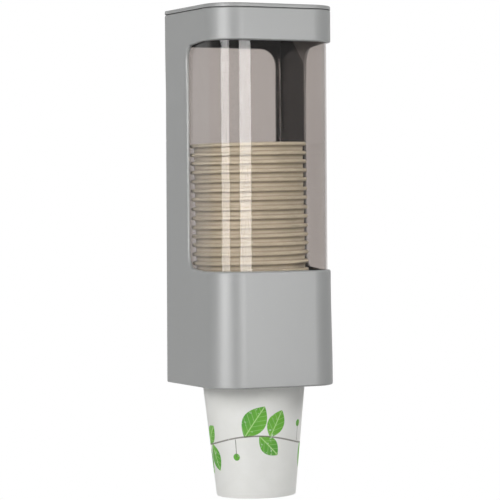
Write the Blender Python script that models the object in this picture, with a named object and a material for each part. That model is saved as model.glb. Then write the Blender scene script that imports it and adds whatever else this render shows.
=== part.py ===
"""Wall-hung dispenser that holds nested paper cups in a clear sleeve and lets one down at a time.

Metres, +Z up, the front faces -Y and the wall is the plane y = 0. The origin is the middle of the
adhesive pad on the wall. Heights of the dispenser's own pieces are counted from its lower edge, and
their y from its back face, under the empty dispenser_body.
"""

import math

import bmesh
import bpy
from mathutils import Vector

# Fits that all pieces share.
TOUCH_GAP = 0.0003
CUT_OVERRUN = 0.003
JOIN_DEPTH = 0.0004

# Paper cup. Heights are from its own lower edge. The rest of the dispenser is sized round it.
CUP_RIM_RADIUS = 0.0375
CUP_HEIGHT = 0.0940
CUP_BASE_SHARE = 0.6853
CUP_RIM_HEIGHT = 0.0026
CUP_RIM_WIDTH = 0.0023
CUP_RIM_ROUND = 0.0008
CUP_PAPER = 0.0003
CUP_STEPS = 24

# The stack: how many cups, how they nest, and their play in the sleeve, against which they lean.
CUP_COUNT = 24
NEST_GAP = 0.000308
FLOOR_GAP = 0.00035
SIDE_PLAY = 0.0027
FRONT_PLAY = 0.00105

# Housing: a sleeve of rounded-square section, flared a little at its two ends.
HOUSING_HEIGHT = 0.2410
HOUSING_WALL = 0.0018
FRONT_RADIUS = 0.0200
REAR_RADIUS = 0.0030
REAR_RADIUS_LEAST = 0.0008
WAIST_INSET = 0.0007
FOOT_OUTSET = 0.0003
FOOT_FLARE_SHARE = 0.943
HEAD_FLARE_HEIGHT = 0.0400
LOWER_EDGE_ROUND = 0.0012
UPPER_EDGE_ROUND = 0.0006
REAR_EDGE_CHAMFER = 0.0012
FLARE_STEPS = 4
EDGE_STEPS = 3
FRONT_CORNER_STEPS = 8
REAR_CORNER_STEPS = 2

# Bands left below and above the windows: one wraps round both sides and the front, one is in the back.
FOOT_BAND = 0.0742
HEAD_BAND = 0.0207
WINDOW_CORNER_RADIUS = 0.0110
SIDE_PANEL_SHARE = 0.4286
BACK_WINDOW_FLANGE = 0.0070
WINDOW_CORNER_STEPS = 6

# Clear sleeve round the stack, and the ledge it stands on.
SLEEVE_WALL = 0.0010
SLEEVE_REAR_RADIUS = 0.0040
SLEEVE_BELOW_TOP = 0.0046
LEDGE_WIDTH = 0.0012
LEDGE_BELOW_WINDOW = 0.0172
LEDGE_THICKNESS = 0.0030

# Lid and its hinge.
LID_THICKNESS = 0.0024
LID_EDGE_ROUND = 0.0008
LID_SKIRT_HEIGHT = 0.0026
LID_SKIRT_WALL = 0.0012
LID_SKIRT_CLEARANCE = 0.0006
HINGE_RADIUS = 0.0018
HINGE_SETBACK = 0.0003
HINGE_HOLE_RADIUS = 0.0010
HINGE_SPACING_SHARE = 0.5
LID_KNUCKLE_LENGTH = 0.0100
HINGE_EAR_LENGTH = 0.0040
HINGE_WEB_THICKNESS = 0.0022
HINGE_NOTCH_CLEARANCE = 0.0005
HINGE_STEPS = 16
KNUCKLE_STEPS = 14
PIN_STEPS = 12

# Small screw used for the gate and the claws.
SCREW_HEAD_RADIUS = 0.0020
SCREW_HEAD_HEIGHT = 0.0013
SCREW_SHANK_RADIUS = 0.0011
SCREW_STEPS = 12
GATE_SCREW_ENGAGEMENT = 0.0080
CLAW_SCREW_ENGAGEMENT = 0.0030

# Gate near the lower edge, which carries the claws.
GATE_BOTTOM = 0.0120
GATE_THICKNESS = 0.0025
GATE_CLEARANCE = 0.0015
GATE_HOLE_STEPS = 32
GATE_SCREW_FROM_WALL = 0.0024
GATE_SCREW_SHARE = 0.262
BOSS_HEIGHT = 0.0110
BOSS_HOLE_DEPTH = 0.0090
BOSS_STEPS = 14

# Claws: they slide on the gate along its diagonals, and their soft lips carry the lowest rim.
CLAW_WIDTH = 0.0080
CLAW_CLEARANCE = 0.0008
CLAW_NOSE_THICKNESS = 0.00244
CLAW_HEAD_LENGTH = 0.0030
CLAW_HEAD_ABOVE_LIP = 0.0008
CLAW_SLIDE_GAP = 0.0003
CLAW_TRAVEL = 0.0040
CLAW_HOLE_DEPTH = 0.0034
LIP_REACH = 0.0017
LIP_SEAT_DEPTH = 0.0033
LIP_THICKNESS = 0.0011
LIP_ARC_STEPS = 4
RAIL_THICKNESS = 0.0010
RAIL_HEIGHT = 0.0018
RAIL_BEYOND_CLAW = 0.0024
CLAW_CORNERS = {"front_right": -45.0, "rear_right": 45.0, "rear_left": 135.0, "front_left": -135.0}

# Wall plate, its adhesive pad and screw holes, its two headed studs, and the upper bumpers.
PAD_THICKNESS = 0.0008
PAD_FROM_PLATE_SIDE = 0.0100
PAD_FROM_SCREW = 0.0070
PAD_CORNER_RADIUS = 0.0030
PLATE_THICKNESS = 0.0024
PLATE_FROM_SIDE = 0.0120
PLATE_CORNER_RADIUS = 0.0060
PLATE_CORNER_STEPS = 4
PLATE_BELOW_LEDGE = 0.0140
PLATE_SCREW_SPACING = 0.0440
PLATE_SCREW_FROM_EDGE = 0.0070
PLATE_SCREW_HOLE_RADIUS = 0.0022
PLATE_SCREW_HEAD_RADIUS = 0.0044
STUD_FROM_PLATE_SIDE = 0.0060
STUD_ABOVE_CENTRE = 0.0080
STUD_NECK_RADIUS = 0.0018
STUD_HEAD_RADIUS = 0.0036
STUD_HEAD_THICKNESS = 0.0016
STUD_STEPS = 16
KEYHOLE_DROP = 0.0080
KEYHOLE_CLEARANCE = 0.0004
KEYHOLE_STEPS = 10
BUMPER_RADIUS = 0.0050
BUMPER_FROM_SIDE = 0.0140
BUMPER_BELOW_TOP = 0.0120
BUMPER_STEPS = 20

# How the cups nest: the taper sets how far each one stands above the next, and that sets the floor.
CUP_BASE_RADIUS = CUP_BASE_SHARE * CUP_RIM_RADIUS
CUP_RIM_UNDERSIDE = CUP_HEIGHT - CUP_RIM_HEIGHT
CUP_SLOPE = (CUP_RIM_RADIUS - CUP_RIM_WIDTH - CUP_BASE_RADIUS) / CUP_RIM_UNDERSIDE
CUP_PITCH = (CUP_PAPER + NEST_GAP) / CUP_SLOPE
CUP_FLOOR_HEIGHT = CUP_PITCH - FLOOR_GAP
STACK_HEIGHT = (CUP_COUNT - 1) * CUP_PITCH + CUP_RIM_HEIGHT
STACK_LEAN = math.asin((SIDE_PLAY - TOUCH_GAP) / STACK_HEIGHT)

# The housing's plan follows from the cup, and the axis of the gate from the housing.
INNER_INSET = WAIST_INSET + HOUSING_WALL
SLEEVE_INSET = INNER_INSET + TOUCH_GAP
SLEEVE_REAR_INSET = HOUSING_WALL + TOUCH_GAP
HOUSING_WIDTH = 2 * (CUP_RIM_RADIUS + SIDE_PLAY + SLEEVE_WALL + SLEEVE_INSET)
HOUSING_DEPTH = 2 * (CUP_RIM_RADIUS + FRONT_PLAY + SLEEVE_WALL) + SLEEVE_INSET + SLEEVE_REAR_INSET
AXIS_Y = -(HOUSING_DEPTH - INNER_INSET + HOUSING_WALL) / 2
SIDE_PANEL_DEPTH = SIDE_PANEL_SHARE * HOUSING_DEPTH
BACK_WINDOW_WIDTH = HOUSING_WIDTH - 2 * BACK_WINDOW_FLANGE

# Heights in the housing, from its lower edge.
WINDOW_BOTTOM = FOOT_BAND
WINDOW_TOP = HOUSING_HEIGHT - HEAD_BAND
FOOT_FLARE_HEIGHT = FOOT_FLARE_SHARE * FOOT_BAND
LEDGE_TOP = FOOT_BAND - LEDGE_BELOW_WINDOW
LEDGE_BOTTOM = LEDGE_TOP - LEDGE_THICKNESS
SLEEVE_TOP = HOUSING_HEIGHT - SLEEVE_BELOW_TOP
LID_BOTTOM = HOUSING_HEIGHT + TOUCH_GAP
BUMPER_HEIGHT = HOUSING_HEIGHT - BUMPER_BELOW_TOP
PLATE_CENTRE_HEIGHT = LEDGE_BOTTOM - PLATE_BELOW_LEDGE

# Hinge.
HINGE_SPACING = HINGE_SPACING_SHARE * HOUSING_WIDTH
HINGE_PIN_RADIUS = HINGE_HOLE_RADIUS - TOUCH_GAP
HINGE_Y = -(HINGE_RADIUS + HINGE_SETBACK)
HINGE_Z = HOUSING_HEIGHT - HINGE_RADIUS - HINGE_SETBACK
HINGE_INNER_Y = HINGE_Y - HINGE_RADIUS

# Gate and claws, radii from the cups' axis.
GATE_TOP = GATE_BOTTOM + GATE_THICKNESS
GATE_HOLE_RADIUS = CUP_RIM_RADIUS + GATE_CLEARANCE
GATE_SCREW_X = HOUSING_WIDTH / 2 - INNER_INSET - GATE_SCREW_FROM_WALL
GATE_SCREW_Y = GATE_SCREW_SHARE * HOUSING_DEPTH
BOSS_RADIUS = GATE_SCREW_FROM_WALL + JOIN_DEPTH
CLAW_NOSE_RADIUS = CUP_RIM_RADIUS + CLAW_CLEARANCE
CLAW_STEP_RADIUS = CLAW_NOSE_RADIUS + LIP_SEAT_DEPTH
CLAW_END_RADIUS = CLAW_STEP_RADIUS + CLAW_HEAD_LENGTH
CLAW_SCREW_RADIUS = (CLAW_STEP_RADIUS + CLAW_END_RADIUS) / 2
LIP_INNER_RADIUS = CUP_RIM_RADIUS - LIP_REACH
RAIL_START_RADIUS = GATE_HOLE_RADIUS + RAIL_THICKNESS
RAIL_END_RADIUS = CLAW_END_RADIUS + RAIL_BEYOND_CLAW
CLAW_BOTTOM = GATE_TOP + CLAW_SLIDE_GAP
CLAW_STEP_TOP = CLAW_BOTTOM + CLAW_NOSE_THICKNESS
LIP_TOP = CLAW_STEP_TOP + TOUCH_GAP + LIP_THICKNESS
CLAW_HEAD_TOP = LIP_TOP + CLAW_HEAD_ABOVE_LIP

# The leaning rim is lowest on the left, where it rests on two lips.
LEAN_DROP = CUP_RIM_RADIUS * math.sin(STACK_LEAN) * math.cos(math.radians(CLAW_CORNERS["rear_right"]))
RIM_REST_HEIGHT = LIP_TOP + TOUCH_GAP + LEAN_DROP

# Wall side. y is counted from the wall.
PLATE_WIDTH = HOUSING_WIDTH - 2 * PLATE_FROM_SIDE
PLATE_HEIGHT = PLATE_SCREW_SPACING + 2 * PLATE_SCREW_FROM_EDGE
PLATE_BACK_Y = -(PAD_THICKNESS + TOUCH_GAP)
PLATE_FRONT_Y = PLATE_BACK_Y - PLATE_THICKNESS
HOUSING_BACK_Y = PLATE_FRONT_Y - TOUCH_GAP
PAD_WIDTH = PLATE_WIDTH - 2 * PAD_FROM_PLATE_SIDE
PAD_HEIGHT = PLATE_SCREW_SPACING - 2 * PAD_FROM_SCREW
STUD_SPACING = PLATE_WIDTH - 2 * STUD_FROM_PLATE_SIDE
BUMPER_SPACING = HOUSING_WIDTH - 2 * BUMPER_FROM_SIDE

# Colours, roughness and metallic value of each finish.
FINISHES = {
    "grey_plastic": ((0.350, 0.362, 0.360), 0.42, 0.0),
    "smoke_plastic": ((0.240, 0.215, 0.195), 0.08, 0.0),
    "white_plastic": ((0.700, 0.700, 0.690), 0.45, 0.0),
    "dark_plastic": ((0.050, 0.052, 0.054), 0.55, 0.0),
    "silicone": ((0.620, 0.620, 0.600), 0.60, 0.0),
    "steel": ((0.560, 0.570, 0.580), 0.30, 1.0),
    "foam_tape": ((0.760, 0.760, 0.730), 0.90, 0.0),
    "rubber": ((0.030, 0.030, 0.031), 0.80, 0.0),
    "paper": ((0.740, 0.740, 0.710), 0.70, 0.0),
}


def clear_scene():
    for old in list(bpy.data.objects):
        bpy.data.objects.remove(old, do_unlink=True)


def finish(name):
    """The named material, made once."""
    if name in bpy.data.materials:
        return bpy.data.materials[name]
    colour, roughness, metallic = FINISHES[name]
    material = bpy.data.materials.new(name)
    material.use_nodes = True
    shader = material.node_tree.nodes["Principled BSDF"]
    shader.inputs["Base Color"].default_value = (*colour, 1.0)
    shader.inputs["Roughness"].default_value = roughness
    shader.inputs["Metallic"].default_value = metallic
    return material


def empty(name, parent=None, place=(0.0, 0.0, 0.0), turn=(0.0, 0.0, 0.0)):
    holder = bpy.data.objects.new(name, None)
    bpy.context.scene.collection.objects.link(holder)
    holder.parent = parent
    holder.location = place
    holder.rotation_euler = turn
    return holder


def piece(name, mesh, parent=None, material=None, place=(0.0, 0.0, 0.0), turn=(0.0, 0.0, 0.0)):
    """A named object for a mesh. With no material it is a cutter or an addition, and stays hidden."""
    made = bpy.data.objects.new(name, mesh)
    bpy.context.scene.collection.objects.link(made)
    made.parent = parent
    made.location = place
    made.rotation_euler = turn
    if material is None:
        made.hide_render = True
        made.display_type = "WIRE"
    else:
        mesh.materials.clear()
        mesh.materials.append(finish(material))
    return made


def combine(target, tool, operation):
    """Cuts the tool from the target, or joins it to the target."""
    step = target.modifiers.new(tool.name, "BOOLEAN")
    step.operation = operation
    step.object = tool


def finished_mesh(name, build, smooth):
    build.normal_update()
    bmesh.ops.recalc_face_normals(build, faces=build.faces)
    mesh = bpy.data.meshes.new(name)
    build.to_mesh(mesh)
    build.free()
    if smooth:
        mesh.shade_smooth()
        mesh.set_sharp_from_angle(angle=math.radians(35.0))
    return mesh


def loft(name, rings, around=False, smooth=True):
    """Skins rings of points. With around, the last ring meets the first; otherwise both ends are capped."""
    build = bmesh.new()
    rows = [[build.verts.new(point) for point in ring] for ring in rings]
    pairs = list(zip(rows, rows[1:]))
    if around:
        pairs.append((rows[-1], rows[0]))
    else:
        build.faces.new(rows[0])
        build.faces.new(rows[-1])
    for low, high in pairs:
        for i in range(len(low)):
            j = (i + 1) % len(low)
            build.faces.new((low[i], low[j], high[j], high[i]))
    return finished_mesh(name, build, smooth)


def prism(name, outline, axis, low, high, smooth=True):
    """Extrudes an outline along X, Y or Z. Its points are (y, z), (x, z) or (x, y)."""
    lay = {"X": lambda a, b, c: (c, a, b), "Y": lambda a, b, c: (a, c, b), "Z": lambda a, b, c: (a, b, c)}[axis]
    rings = [[lay(a, b, level) for a, b in outline] for level in (low, high)]
    return loft(name, rings, smooth=smooth)


def circle(radius, steps, centre=(0.0, 0.0)):
    turns = [2 * math.pi * i / steps for i in range(steps)]
    return [(centre[0] + radius * math.cos(t), centre[1] + radius * math.sin(t)) for t in turns]


def turned(name, profile, steps, axis="Z"):
    """A solid of revolution about Z, or about Y, from (radius, height) points, capped at both ends."""
    lay = {"Z": lambda a, b, c: (a, b, c), "Y": lambda a, b, c: (a, c, b)}[axis]
    rings = [[lay(a, b, level) for a, b in circle(radius, steps)] for radius, level in profile]
    return loft(name, rings)


def arc(centre, radius, start, end, steps):
    """Points on an arc, angles in degrees, both ends included."""
    turns = [math.radians(start + (end - start) * i / steps) for i in range(steps + 1)]
    return [(centre[0] + radius * math.cos(t), centre[1] + radius * math.sin(t)) for t in turns]


def rounded(low, high, low_radius, high_radius, steps):
    """A rectangle from corner to corner. The corners at its lower second coordinate take low_radius."""
    (a0, b0), (a1, b1) = low, high
    return (
        arc((a1 - high_radius, b1 - high_radius), high_radius, 0, 90, steps)
        + arc((a0 + high_radius, b1 - high_radius), high_radius, 90, 180, steps)
        + arc((a0 + low_radius, b0 + low_radius), low_radius, 180, 270, steps)
        + arc((a1 - low_radius, b0 + low_radius), low_radius, 270, 360, steps)
    )


def plan(inset, rear_inset, rear_radius=REAR_RADIUS):
    """The housing's plan, drawn in from its nominal sides and front by inset and from its back by rear_inset."""
    half = HOUSING_WIDTH / 2 - inset
    rear = -rear_inset
    front = -HOUSING_DEPTH + inset
    back = max(rear_radius - inset, REAR_RADIUS_LEAST)
    bow = FRONT_RADIUS - inset
    return (
        arc((half - back, rear - back), back, 0, 90, REAR_CORNER_STEPS)
        + arc((-half + back, rear - back), back, 90, 180, REAR_CORNER_STEPS)
        + arc((-half + bow, front + bow), bow, 180, 270, FRONT_CORNER_STEPS)
        + arc((half - bow, front + bow), bow, 270, 360, FRONT_CORNER_STEPS)
    )


def at_height(outline, height):
    return [(x, y, height) for x, y in outline]


def eased(share):
    """Runs from 0 to 1 with level ends."""
    return share * share * (3 - 2 * share)


def housing_levels():
    """(height, inset, rear inset) of the housing's outside, from its lower edge up."""
    levels = []
    for i in range(EDGE_STEPS):
        turn = math.radians(90.0 * i / EDGE_STEPS)
        inset = LOWER_EDGE_ROUND * (1 - math.sin(turn)) - FOOT_OUTSET
        levels.append((LOWER_EDGE_ROUND * (1 - math.cos(turn)), inset, 0.0))
    for i in range(FLARE_STEPS + 1):
        share = i / FLARE_STEPS
        height = LOWER_EDGE_ROUND + (FOOT_FLARE_HEIGHT - LOWER_EDGE_ROUND) * share
        levels.append((height, -FOOT_OUTSET + (WAIST_INSET + FOOT_OUTSET) * eased(share), 0.0))
    for i in range(FLARE_STEPS + 1):
        share = i / FLARE_STEPS
        height = WINDOW_TOP - HEAD_FLARE_HEIGHT * (1 - share)
        levels.append((height, WAIST_INSET * (1 - eased(share)), 0.0))
    levels.append((HOUSING_HEIGHT - REAR_EDGE_CHAMFER, 0.0, 0.0))
    chamfer_left = REAR_EDGE_CHAMFER - UPPER_EDGE_ROUND
    levels.append((HOUSING_HEIGHT - UPPER_EDGE_ROUND, 0.0, chamfer_left))
    levels.append((HOUSING_HEIGHT, UPPER_EDGE_ROUND, REAR_EDGE_CHAMFER))
    return levels


def housing_shell():
    """The sleeve with the inner ledge that the clear sleeve stands on."""
    outside = [at_height(plan(inset, rear_inset), height) for height, inset, rear_inset in housing_levels()]
    bore = plan(INNER_INSET, HOUSING_WALL)
    ledge = plan(INNER_INSET + LEDGE_WIDTH, HOUSING_WALL + LEDGE_WIDTH)
    inside = [
        at_height(bore, HOUSING_HEIGHT),
        at_height(bore, LEDGE_TOP),
        at_height(ledge, LEDGE_TOP),
        at_height(ledge, LEDGE_BOTTOM),
        at_height(bore, LEDGE_BOTTOM),
        at_height(bore, 0.0),
    ]
    return loft("housing", outside + inside, around=True)


def keyhole():
    """Outline in x and z about the stud's seat: a slot for its neck, and below it a hole for its head."""
    slot = STUD_NECK_RADIUS + KEYHOLE_CLEARANCE
    hole = STUD_HEAD_RADIUS + KEYHOLE_CLEARANCE
    meet = math.degrees(math.acos(slot / hole))
    return arc((0.0, 0.0), slot, 0, 180, KEYHOLE_STEPS) + arc(
        (0.0, -KEYHOLE_DROP), hole, 180 - meet, 360 + meet, KEYHOLE_STEPS
    )


def knuckle_places():
    """(name, x) of the two hinges, left first."""
    return (("left", -HINGE_SPACING / 2), ("right", HINGE_SPACING / 2))


def barrel(name, radius, length, body, x, steps=HINGE_STEPS):
    """A hidden cylinder along X on the hinge's axis."""
    mesh = prism(name, circle(radius, steps), "X", -length / 2, length / 2)
    return piece(name, mesh, body, place=(x, HINGE_Y, HINGE_Z))


def hinge_span():
    """Length of one hinge, from the outer end of one ear to that of the other."""
    return LID_KNUCKLE_LENGTH + 2 * (TOUCH_GAP + HINGE_EAR_LENGTH)


def add_hinge_ears(housing, body):
    """A barrel inside the rear wall for each hinge, notched for the lid's knuckle and drilled for the pin."""
    for side, x in knuckle_places():
        combine(housing, barrel(f"ears_{side}", HINGE_RADIUS, hinge_span(), body, x), "UNION")
        half = LID_KNUCKLE_LENGTH / 2 + TOUCH_GAP
        low = HINGE_Z - HINGE_RADIUS - HINGE_NOTCH_CLEARANCE
        high = HOUSING_HEIGHT + CUT_OVERRUN
        outline = [(-half, low), (half, low), (half, high), (-half, high)]
        mesh = prism(f"notch_{side}", outline, "Y", HINGE_INNER_Y - CUT_OVERRUN, CUT_OVERRUN)
        combine(housing, piece(f"notch_{side}", mesh, body, place=(x, 0.0, 0.0)), "DIFFERENCE")
        hole = barrel(f"ear_hole_{side}", HINGE_HOLE_RADIUS, hinge_span() + CUT_OVERRUN, body, x)
        combine(housing, hole, "DIFFERENCE")


def gate_screw_places():
    """(name, x, y) of the four gate screws, y about the cups' axis."""
    return [
        (f"{fore}_{side}", x, y)
        for fore, y in (("front", -GATE_SCREW_Y), ("rear", GATE_SCREW_Y))
        for side, x in (("left", -GATE_SCREW_X), ("right", GATE_SCREW_X))
    ]


def add_bosses(housing, body):
    """Bosses on the side walls above the gate, drilled from below for its screws."""
    low = GATE_TOP + TOUCH_GAP
    drill = SCREW_SHANK_RADIUS + TOUCH_GAP
    for name, x, y in gate_screw_places():
        place = (x, AXIS_Y + y, 0.0)
        boss = turned(f"boss_{name}", ((BOSS_RADIUS, low), (BOSS_RADIUS, low + BOSS_HEIGHT)), BOSS_STEPS)
        combine(housing, piece(f"boss_{name}", boss, body, place=place), "UNION")
        hole = turned(f"boss_hole_{name}", ((drill, low - CUT_OVERRUN), (drill, low + BOSS_HOLE_DEPTH)), SCREW_STEPS)
        combine(housing, piece(f"boss_hole_{name}", hole, body, place=place), "DIFFERENCE")


def make_housing(body):
    housing = piece("housing", housing_shell(), body, "grey_plastic")
    wrap = rounded(
        (-HOUSING_DEPTH - CUT_OVERRUN, WINDOW_BOTTOM),
        (-SIDE_PANEL_DEPTH, WINDOW_TOP),
        WINDOW_CORNER_RADIUS,
        WINDOW_CORNER_RADIUS,
        WINDOW_CORNER_STEPS,
    )
    reach = HOUSING_WIDTH / 2 + CUT_OVERRUN
    # The window's front corners would narrow it across the front, so they are pulled out past the wall.
    wrap = [(y - WINDOW_CORNER_RADIUS if y < AXIS_Y else y, z) for y, z in wrap]
    combine(housing, piece("window_wrap", prism("window_wrap", wrap, "X", -reach, reach), body), "DIFFERENCE")
    back = rounded(
        (-BACK_WINDOW_WIDTH / 2, WINDOW_BOTTOM),
        (BACK_WINDOW_WIDTH / 2, WINDOW_TOP),
        WINDOW_CORNER_RADIUS,
        WINDOW_CORNER_RADIUS,
        WINDOW_CORNER_STEPS,
    )
    mesh = prism("window_back", back, "Y", -HOUSING_WALL - CUT_OVERRUN, CUT_OVERRUN)
    combine(housing, piece("window_back", mesh, body), "DIFFERENCE")
    for side, x in (("left", -STUD_SPACING / 2), ("right", STUD_SPACING / 2)):
        mesh = prism(f"keyhole_{side}", keyhole(), "Y", -HOUSING_WALL - CUT_OVERRUN, CUT_OVERRUN)
        place = (x, 0.0, PLATE_CENTRE_HEIGHT + STUD_ABOVE_CENTRE)
        combine(housing, piece(f"keyhole_{side}", mesh, body, place=place), "DIFFERENCE")
    add_hinge_ears(housing, body)
    add_bosses(housing, body)


def make_sleeve(body):
    """The clear sleeve: open at both ends, standing on the ledge."""
    low = LEDGE_TOP + TOUCH_GAP
    radius = SLEEVE_REAR_RADIUS + SLEEVE_INSET
    outer = plan(SLEEVE_INSET, SLEEVE_REAR_INSET, radius)
    inner = plan(SLEEVE_INSET + SLEEVE_WALL, SLEEVE_REAR_INSET + SLEEVE_WALL, radius)
    rings = [at_height(outer, low), at_height(outer, SLEEVE_TOP), at_height(inner, SLEEVE_TOP), at_height(inner, low)]
    piece("clear_sleeve", loft("clear_sleeve", rings, around=True), body, "smoke_plastic")


def knuckle_outline():
    """Outline in y and z of a round knuckle with the web that joins it to the lid above."""
    half = HINGE_WEB_THICKNESS / 2
    spread = math.degrees(math.asin(half / HINGE_RADIUS))
    top = LID_BOTTOM - HINGE_Z + JOIN_DEPTH
    return arc((0.0, 0.0), HINGE_RADIUS, 90 + spread, 450 - spread, KNUCKLE_STEPS) + [(half, top), (-half, top)]


def make_lid(body):
    """The lid, with its origin on the hinge's axis."""
    drop = Vector((0.0, -HINGE_Y, -HINGE_Z))

    def moved(outline, height):
        return [tuple(Vector(point) + drop) for point in at_height(outline, height)]

    top = LID_BOTTOM + LID_THICKNESS
    rings = [moved(plan(0.0, 0.0), LID_BOTTOM)]
    for i in range(EDGE_STEPS + 1):
        turn = math.radians(90.0 * i / EDGE_STEPS)
        inset = LID_EDGE_ROUND * (1 - math.cos(turn))
        rings.append(moved(plan(inset, inset), top - LID_EDGE_ROUND * (1 - math.sin(turn))))
    lid = piece("lid", loft("lid", rings), body, "grey_plastic", place=(0.0, HINGE_Y, HINGE_Z))

    inset = INNER_INSET + LID_SKIRT_CLEARANCE
    rear = LID_SKIRT_CLEARANCE - HINGE_INNER_Y
    outer = plan(inset, rear)
    inner = plan(inset + LID_SKIRT_WALL, rear + LID_SKIRT_WALL)
    low, high = LID_BOTTOM - LID_SKIRT_HEIGHT, LID_BOTTOM + JOIN_DEPTH
    rings = [moved(outer, low), moved(outer, high), moved(inner, high), moved(inner, low)]
    skirt = piece("lid_skirt", loft("lid_skirt", rings, around=True), body, place=lid.location)
    combine(lid, skirt, "UNION")

    for side, x in knuckle_places():
        mesh = prism(f"knuckle_{side}", knuckle_outline(), "X", -LID_KNUCKLE_LENGTH / 2, LID_KNUCKLE_LENGTH / 2)
        combine(lid, piece(f"knuckle_{side}", mesh, body, place=(x, HINGE_Y, HINGE_Z)), "UNION")
        hole = barrel(f"knuckle_hole_{side}", HINGE_HOLE_RADIUS, hinge_span(), body, x)
        combine(lid, hole, "DIFFERENCE")


def make_hinge_pins(body):
    for side, x in knuckle_places():
        name = f"hinge_pin_{side}"
        mesh = prism(name, circle(HINGE_PIN_RADIUS, PIN_STEPS), "X", -hinge_span() / 2, hinge_span() / 2)
        piece(name, mesh, body, "steel", place=(x, HINGE_Y, HINGE_Z))


def cup_mesh():
    """One cup: a tapered wall with a rolled rim and a raised floor over a short skirt."""

    def wall(height):
        return CUP_BASE_RADIUS + CUP_SLOPE * height

    under = CUP_FLOOR_HEIGHT - CUP_PAPER
    outside = [
        (wall(0.0), 0.0),
        (wall(CUP_RIM_UNDERSIDE), CUP_RIM_UNDERSIDE),
        (CUP_RIM_RADIUS - CUP_RIM_ROUND, CUP_RIM_UNDERSIDE),
        (CUP_RIM_RADIUS, CUP_RIM_UNDERSIDE + CUP_RIM_ROUND),
        (CUP_RIM_RADIUS, CUP_HEIGHT - CUP_RIM_ROUND),
        (CUP_RIM_RADIUS - CUP_RIM_ROUND, CUP_HEIGHT),
    ]
    inside = [(wall(CUP_HEIGHT) - CUP_PAPER, CUP_HEIGHT), (wall(CUP_FLOOR_HEIGHT) - CUP_PAPER, CUP_FLOOR_HEIGHT)]
    skirt = [(wall(under) - CUP_PAPER, under), (wall(0.0) - CUP_PAPER, 0.0)]
    rings = [at_height(circle(radius, CUP_STEPS), height) for radius, height in skirt + outside + inside]
    # The skirt's inner ring and the floor's top ring close the solid, one cap under the floor and one over it.
    return loft("cup", rings)


def make_cups(body):
    """The nested cups. The lowest hangs by its rim, and all lean alike against the sleeve."""
    pivot_height = RIM_REST_HEIGHT
    axis = empty("cup_axis", body, (0.0, AXIS_Y, pivot_height), (0.0, -STACK_LEAN, 0.0))
    mesh = cup_mesh()
    for i in range(CUP_COUNT):
        place = (0.0, 0.0, i * CUP_PITCH - CUP_RIM_UNDERSIDE)
        piece(f"cup_{i + 1:02d}", mesh, axis, "paper", place=place)


def make_screw(name, parent, engagement, place):
    """A pan-head screw that points up. Its origin is under the head, on the surface that it clamps."""
    profile = (
        (SCREW_HEAD_RADIUS, -TOUCH_GAP - SCREW_HEAD_HEIGHT),
        (SCREW_HEAD_RADIUS, -TOUCH_GAP),
        (SCREW_SHANK_RADIUS, -TOUCH_GAP),
        (SCREW_SHANK_RADIUS, engagement),
    )
    piece(name, turned(name, profile, SCREW_STEPS), parent, "steel", place=place)


def claw_slot():
    """Outline of a slot in the gate along a claw's screw travel."""
    radius = SCREW_SHANK_RADIUS + TOUCH_GAP
    return arc((CLAW_SCREW_RADIUS + CLAW_TRAVEL, 0.0), radius, -90, 90, KEYHOLE_STEPS) + arc(
        (CLAW_SCREW_RADIUS, 0.0), radius, 90, 270, KEYHOLE_STEPS
    )


def make_gate(body):
    """The ring plate with its round hole, screw holes, claw slots and guide rails."""
    inset = INNER_INSET + TOUCH_GAP
    outline = plan(inset, HOUSING_WALL + TOUCH_GAP)
    gate = piece("cup_gate", prism("cup_gate", outline, "Z", GATE_BOTTOM, GATE_TOP), body, "dark_plastic")
    low, high = GATE_BOTTOM - CUT_OVERRUN, GATE_TOP + CUT_OVERRUN
    mesh = prism("gate_hole", circle(GATE_HOLE_RADIUS, GATE_HOLE_STEPS), "Z", low, high)
    combine(gate, piece("gate_hole", mesh, body, place=(0.0, AXIS_Y, 0.0)), "DIFFERENCE")
    for name, x, y in gate_screw_places():
        mesh = prism(f"gate_screw_hole_{name}", circle(SCREW_SHANK_RADIUS + TOUCH_GAP, SCREW_STEPS), "Z", low, high)
        combine(gate, piece(f"gate_screw_hole_{name}", mesh, body, place=(x, AXIS_Y + y, 0.0)), "DIFFERENCE")
        make_screw(f"gate_screw_{name}", body, GATE_THICKNESS + GATE_SCREW_ENGAGEMENT, (x, AXIS_Y + y, GATE_BOTTOM))
    for name, degrees in CLAW_CORNERS.items():
        turn = (0.0, 0.0, math.radians(degrees))
        mesh = prism(f"claw_slot_{name}", claw_slot(), "Z", low, high)
        combine(gate, piece(f"claw_slot_{name}", mesh, body, place=(0.0, AXIS_Y, 0.0), turn=turn), "DIFFERENCE")
        for side, sign in (("left", 1), ("right", -1)):
            near = sign * (CLAW_WIDTH / 2 + CLAW_SLIDE_GAP)
            far = near + sign * RAIL_THICKNESS
            start, end = RAIL_START_RADIUS, RAIL_END_RADIUS
            rail = [(start, near), (end, near), (end, far), (start, far)]
            label = f"rail_{name}_{side}"
            mesh = prism(label, rail, "Z", GATE_TOP - JOIN_DEPTH, GATE_TOP + RAIL_HEIGHT)
            combine(gate, piece(label, mesh, body, place=(0.0, AXIS_Y, 0.0), turn=turn), "UNION")


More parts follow.
